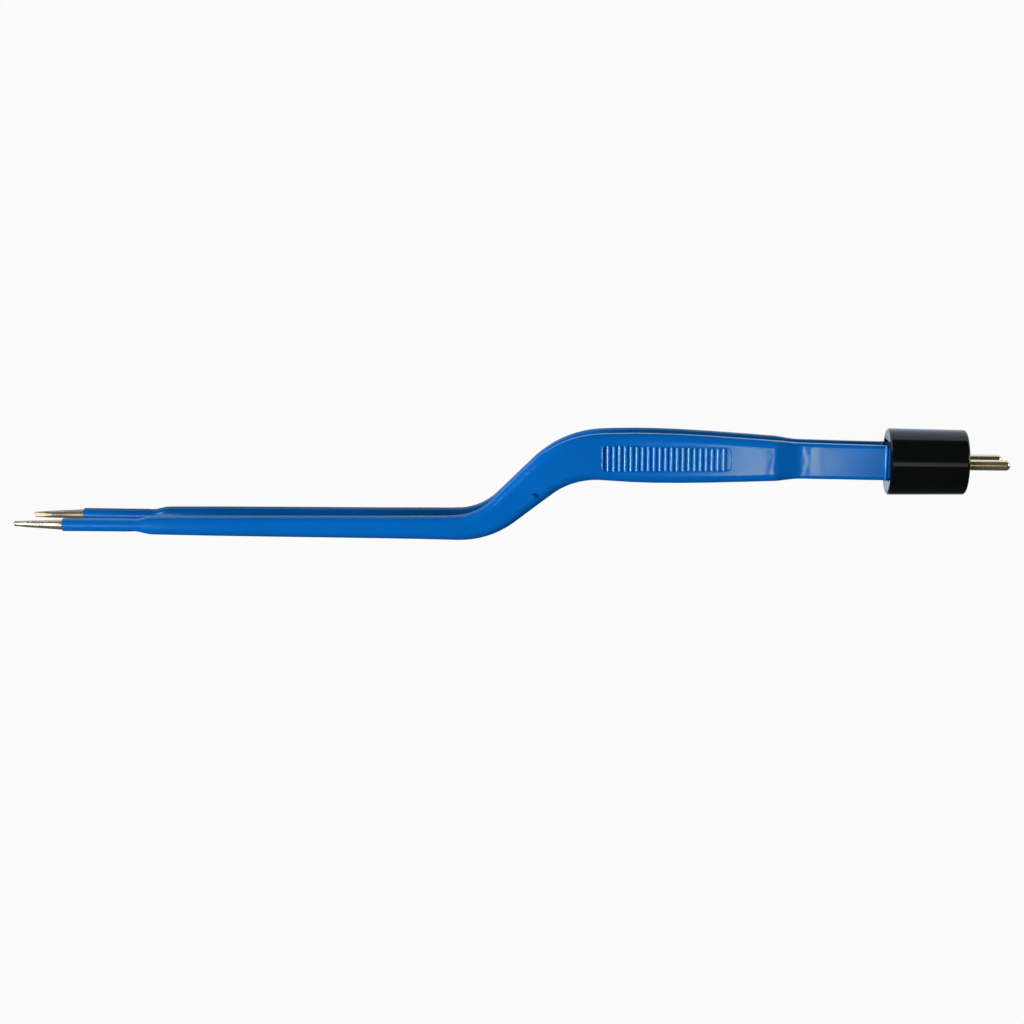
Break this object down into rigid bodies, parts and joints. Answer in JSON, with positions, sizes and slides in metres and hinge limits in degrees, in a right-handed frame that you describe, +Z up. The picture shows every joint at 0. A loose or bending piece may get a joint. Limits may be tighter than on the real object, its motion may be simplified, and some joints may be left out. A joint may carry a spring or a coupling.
{
  "type": "bipolar forceps",
  "caption": "Bayonet bipolar forceps: insulated sprung arms with ribbed grips, bare tapered tips and a round two-pin plug, lying on its side.",
  "frame": {"origin": "on the resting surface, under the middle of the object's bounding box", "axes": "+X along the arms toward the plug and its pins, +Y toward the raised handle side of the bayonet, +Z up through both arms, from the lower arm to the upper one"},
  "size_m": [0.229, 0.026, 0.0172],
  "materials": {
    "steel": "satin ground stainless steel",
    "coat": "glossy blue nylon coat",
    "plug": "satin black moulded plastic",
    "spacer": "dull black plastic",
    "pin": "nickel-plated brass",
    "rivet": "plain brass"
  },
  "bodies": {
    "plug": {"plug_body": "plug", "plug_spacer": "spacer", "upper_pin": "pin", "lower_pin": "pin", "upper_rivet": "rivet", "lower_rivet": "rivet"},
    "upper_arm": {"upper_blade": "steel", "upper_insulation": "coat"},
    "lower_arm": {"lower_blade": "steel", "lower_insulation": "coat"}
  },
  "joints": [
    {"name": "upper_arm_flex", "type": "hinge", "parent": "plug", "child": "upper_arm", "pos_m": [0.09375, 0.0055, 0.01221], "axis": [0, -1, 0], "range_deg": [0, 1.6], "stiffness_Nm_per_rad": 2.3},
    {"name": "lower_arm_flex", "type": "hinge", "parent": "plug", "child": "lower_arm", "pos_m": [0.09375, 0.0055, 0.00501], "axis": [0, 1, 0], "range_deg": [0, 1.6], "stiffness_Nm_per_rad": 2.3}
  ]
}
